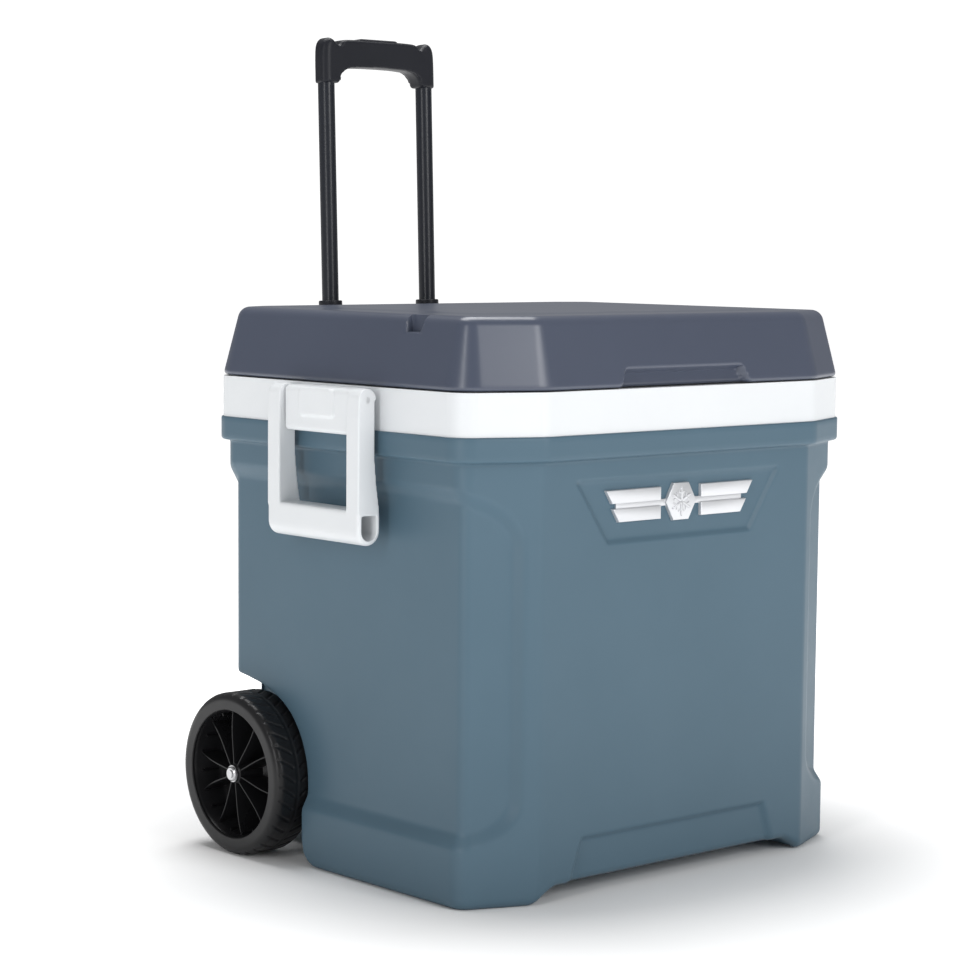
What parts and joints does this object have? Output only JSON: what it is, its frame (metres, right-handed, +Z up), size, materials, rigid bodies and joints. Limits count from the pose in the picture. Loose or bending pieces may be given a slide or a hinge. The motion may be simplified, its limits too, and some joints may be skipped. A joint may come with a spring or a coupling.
{
  "type": "cooler on wheels",
  "caption": "Cube-shaped insulated roller cooler with a hinged lid, telescoping handle, swing side handles, drain and rear wheels.",
  "frame": {"origin": "middle of the footprint's box, on the floor", "axes": "-Y is the front, +Z is up, +X is to the right when the front is seen"},
  "size_m": [0.55, 0.4672, 0.7922],
  "materials": {
    "body_blue": "satin",
    "white_plastic": "satin",
    "lid_grey": "satin",
    "badge_silver": "satin",
    "foam": "matte",
    "steel": "satin",
    "wheel_black": "satin",
    "tread_rubber": "matte",
    "black_plastic": "satin",
    "tube_black": "gloss",
    "seal_rubber": "matte"
  },
  "bodies": {
    "body": {"outer_shell": "body_blue", "body_foam": "foam", "liner": "white_plastic", "front_badge": "badge_silver", "axle": "steel", "axle_washers": "steel", "push_nuts": "steel", "hinge_bases": "lid_grey", "hinge_pins": "steel", "hinge_screws": "steel", "bail_bracket_left": "white_plastic", "bail_bracket_right": "white_plastic", "bail_pin_left": "steel", "bail_pin_right": "steel", "guide_tube_left": "tube_black", "guide_tube_right": "tube_black", "tube_collars": "black_plastic", "handle_housing": "black_plastic", "housing_screws": "steel", "drain_spout": "white_plastic", "drain_gasket": "seal_rubber", "drain_nut": "white_plastic"},
    "lid": {"lid_shell": "lid_grey", "lid_foam": "foam", "lid_panel": "white_plastic", "hinge_leaves": "lid_grey"},
    "handle": {"slide_tube_left": "tube_black", "slide_tube_right": "tube_black", "tube_plugs": "black_plastic", "grip_front": "black_plastic", "grip_back": "black_plastic", "grip_screws": "steel", "button_spring": "steel"},
    "release": {"release_button": "black_plastic", "lock_rod_left": "steel", "lock_rod_right": "steel"},
    "bail_left": {"bail_left": "white_plastic"},
    "bail_right": {"bail_right": "white_plastic"},
    "wheel_left": {"wheel_left": "wheel_black", "tread_left": "tread_rubber"},
    "wheel_right": {"wheel_right": "wheel_black", "tread_right": "tread_rubber"},
    "drain_washer": {"drain_cap_washer": "seal_rubber"},
    "drain_cap": {"drain_cap": "white_plastic"}
  },
  "joints": [
    {"name": "lid_hinge", "type": "hinge", "parent": "body", "child": "lid", "pos_m": [0, 0.18342, 0.508], "axis": [-1, 0, 0], "range_deg": [0, 85]},
    {"name": "handle_slide", "type": "slide", "parent": "body", "child": "handle", "axis": [0, 0.0366, 0.9993], "range_m": [-0.213, 0]},
    {"name": "button_press", "type": "slide", "parent": "handle", "child": "release", "axis": [0, -0.0366, -0.9993], "range_m": [0, 0.004], "stiffness_N_per_m": 900, "springref_m": -0.004, "deforming": ["button_spring"]},
    {"name": "bail_left_swing", "type": "hinge", "parent": "body", "child": "bail_left", "pos_m": [-0.2645, -0.02758, 0.447], "axis": [0, 1, 0], "range_deg": [0, 120]},
    {"name": "bail_right_swing", "type": "hinge", "parent": "body", "child": "bail_right", "pos_m": [0.2645, -0.02758, 0.447], "axis": [0, -1, 0], "range_deg": [0, 120]},
    {"name": "wheel_left_spin", "type": "hinge", "parent": "body", "child": "wheel_left", "pos_m": [-0.243, 0.11142, 0.078], "axis": [1, 0, 0], "continuous": true},
    {"name": "wheel_right_spin", "type": "hinge", "parent": "body", "child": "wheel_right", "pos_m": [0.243, 0.11142, 0.078], "axis": [1, 0, 0], "continuous": true},
    {"name": "drain_cap_travel", "type": "slide", "parent": "body", "child": "drain_washer", "axis": [1, 0, 0], "range_m": [0, 0.009]},
    {"name": "drain_cap_turn", "type": "hinge", "parent": "drain_washer", "child": "drain_cap", "pos_m": [0.24, -0.13758, 0.07], "axis": [1, 0, 0], "range_deg": [0, 1080]}
  ],
  "couplings": [
    {"joint": "drain_cap_travel", "follows": "drain_cap_turn", "m_per_rad": 0.00047746}
  ]
}
